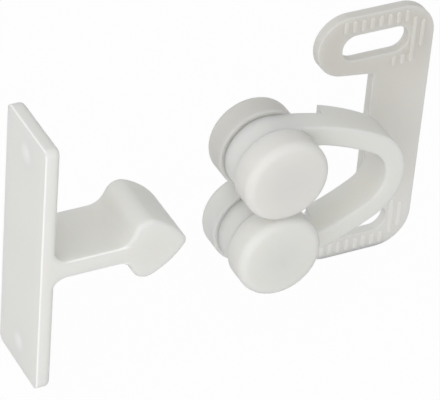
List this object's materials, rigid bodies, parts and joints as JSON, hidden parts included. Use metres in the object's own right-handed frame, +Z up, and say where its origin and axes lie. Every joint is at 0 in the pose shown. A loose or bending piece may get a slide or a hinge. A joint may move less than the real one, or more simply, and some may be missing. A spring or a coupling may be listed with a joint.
{
  "type": "double roller cabinet catch with strike",
  "caption": "Nylon catch with a C-shaped screw plate, a springy bow carrying paired rollers, and a separate arrow-headed strike plate.",
  "frame": {"origin": "on the catch's mounting face, in the middle of the plate's spine", "axes": "+X the way the strike goes into the catch, +Z up along the plate, +Y out of the mounting face into the cabinet's side"},
  "size_m": [0.0589, 0.0143, 0.0378],
  "materials": {
    "catch_nylon": "translucent off-white nylon, satin",
    "roller_nylon": "translucent off-white nylon, satin",
    "pin_nylon": "translucent off-white nylon, satin",
    "strike_nylon": "translucent off-white nylon, satin"
  },
  "bodies": {
    "catch": {"catch_body": "catch_nylon"},
    "upper_roller": {"upper_axle_pin": "pin_nylon", "upper_rear_roller": "roller_nylon", "upper_front_roller": "roller_nylon"},
    "lower_roller": {"lower_axle_pin": "pin_nylon", "lower_rear_roller": "roller_nylon", "lower_front_roller": "roller_nylon"},
    "strike": {"strike": "strike_nylon"}
  },
  "joints": [
    {"name": "upper_roller_spin", "type": "hinge", "parent": "catch", "child": "upper_roller", "pos_m": [-0.0224, -0.00835, 0.0058], "axis": [0, 1, 0], "continuous": true},
    {"name": "lower_roller_spin", "type": "hinge", "parent": "catch", "child": "lower_roller", "pos_m": [-0.0224, -0.00835, -0.0058], "axis": [0, 1, 0], "continuous": true},
    {"name": "strike_slide", "type": "slide", "parent": "catch", "child": "strike", "axis": [1, 0, 0], "range_m": [-0.03, 0.0096]}
  ]
}
